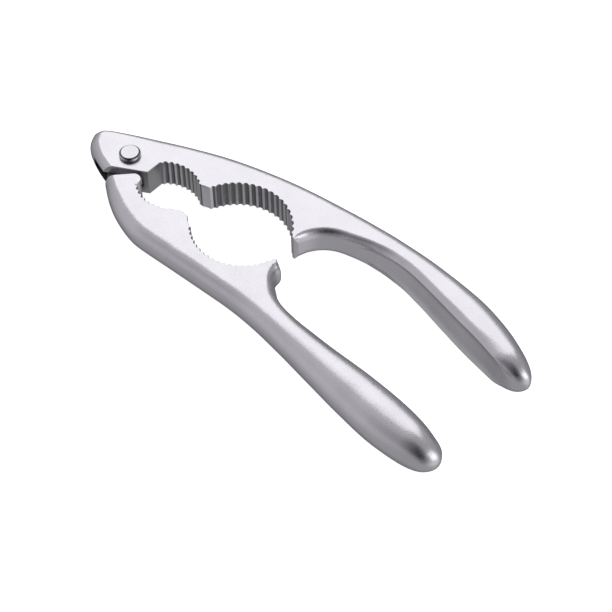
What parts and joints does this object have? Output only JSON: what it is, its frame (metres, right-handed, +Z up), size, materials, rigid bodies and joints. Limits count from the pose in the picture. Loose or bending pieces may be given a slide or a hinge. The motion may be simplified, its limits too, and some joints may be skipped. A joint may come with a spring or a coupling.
{
  "type": "nutcracker",
  "caption": "Hand-held lever nutcracker with a small and a large toothed jaw; two cast levers turn on a rivet at the nose, with a round and a D-section handle.",
  "frame": {"origin": "on the pivot axis, at the flat outer face of the rivet's back head, which lies on the table", "axes": "+Z up along the pivot axis, through the tool's thickness; +X from the pivot along the tool, between the two handles; +Y towards the fork lever"},
  "size_m": [0.1897, 0.0702, 0.0154],
  "materials": {
    "satin_casting_fork": "satin",
    "satin_casting_tongue": "satin",
    "rivet_steel": "polished"
  },
  "bodies": {
    "fork": {"fork_lever": "satin_casting_fork", "rivet_barrel": "rivet_steel", "rivet_pin": "rivet_steel"},
    "tongue": {"tongue_lever": "satin_casting_tongue"}
  },
  "joints": [
    {"name": "lever_pivot", "type": "hinge", "parent": "fork", "child": "tongue", "pos_m": [0, 0, 0.0077], "axis": [0, 0, 1], "range_deg": [-35, 8.6]}
  ]
}
